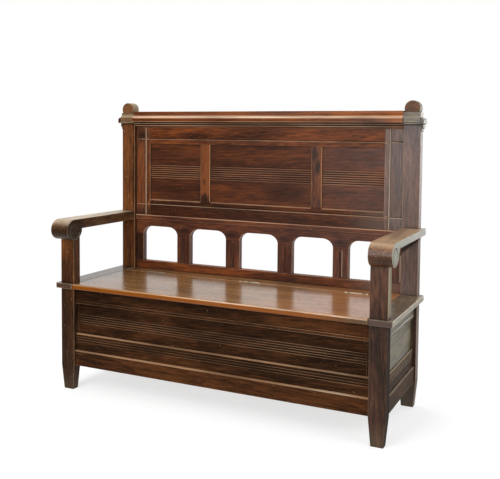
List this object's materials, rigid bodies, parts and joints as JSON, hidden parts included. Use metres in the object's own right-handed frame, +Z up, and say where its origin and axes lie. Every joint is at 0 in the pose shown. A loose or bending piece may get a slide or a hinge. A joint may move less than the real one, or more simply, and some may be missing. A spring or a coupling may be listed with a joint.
{
  "type": "settle bench",
  "caption": "Wooden hall settle with a storage box under a hinged seat lid, scroll arms, and a panelled back over an open arcade.",
  "frame": {"origin": "on the floor, under the middle of the bench's overall box", "axes": "+X along the seat, to the right as seen from the front, +Y from the front to the back, +Z up"},
  "size_m": [1.451, 0.497, 1.218],
  "materials": {
    "box_wood": "dark stained and waxed",
    "frame_wood": "red-brown stained and waxed",
    "panel_wood": "red-brown stained and waxed",
    "seat_wood": "worn and polished",
    "hinge_iron": "old bright iron"
  },
  "bodies": {
    "bench": {"arcade_head_rail": "frame_wood", "arcade_muntin_1": "frame_wood", "arcade_muntin_2": "frame_wood", "arcade_muntin_3": "frame_wood", "arcade_muntin_4": "frame_wood", "arcade_sill_rail": "frame_wood", "arcade_stile_left": "frame_wood", "arcade_stile_right": "frame_wood", "arm_left": "seat_wood", "arm_right": "seat_wood", "back_bottom_rail": "frame_wood", "back_muntin_left": "frame_wood", "back_muntin_right": "frame_wood", "back_panel_centre": "panel_wood", "back_panel_left": "panel_wood", "back_panel_right": "panel_wood", "back_post_left": "frame_wood", "back_post_right": "frame_wood", "back_stile_left": "frame_wood", "back_stile_right": "frame_wood", "back_top_rail": "frame_wood", "crest_rail": "frame_wood", "finial_left": "frame_wood", "finial_right": "frame_wood", "floor_board": "box_wood", "floor_cleat_front": "box_wood", "floor_cleat_rear": "box_wood", "front_bottom_rail": "box_wood", "front_mid_board": "box_wood", "front_panel": "box_wood", "front_post_left": "frame_wood", "front_post_right": "frame_wood", "front_top_rail": "box_wood", "hinge_fixed_1": "hinge_iron", "hinge_fixed_2": "hinge_iron", "hinge_fixed_3": "hinge_iron", "post_cap_left": "frame_wood", "post_cap_right": "frame_wood", "rear_lower_board": "box_wood", "rear_upper_board": "box_wood", "seat_back_strip": "seat_wood", "seat_end_left": "seat_wood", "seat_end_right": "seat_wood", "side_bottom_rail_left": "box_wood", "side_bottom_rail_right": "box_wood", "side_mid_board_left": "box_wood", "side_mid_board_right": "box_wood", "side_moulding_left": "frame_wood", "side_moulding_right": "frame_wood", "side_panel_left": "box_wood", "side_panel_right": "box_wood", "side_top_rail_left": "box_wood", "side_top_rail_right": "box_wood"},
    "lid": {"lid_board": "seat_wood", "lid_batten_left": "box_wood", "lid_batten_right": "box_wood", "hinge_moving_1": "hinge_iron", "hinge_moving_2": "hinge_iron", "hinge_moving_3": "hinge_iron"}
  },
  "joints": [
    {"name": "lid_hinge", "type": "hinge", "parent": "bench", "child": "lid", "pos_m": [0, 0.1465, 0.45], "axis": [-1, 0, 0], "range_deg": [0, 99]}
  ]
}
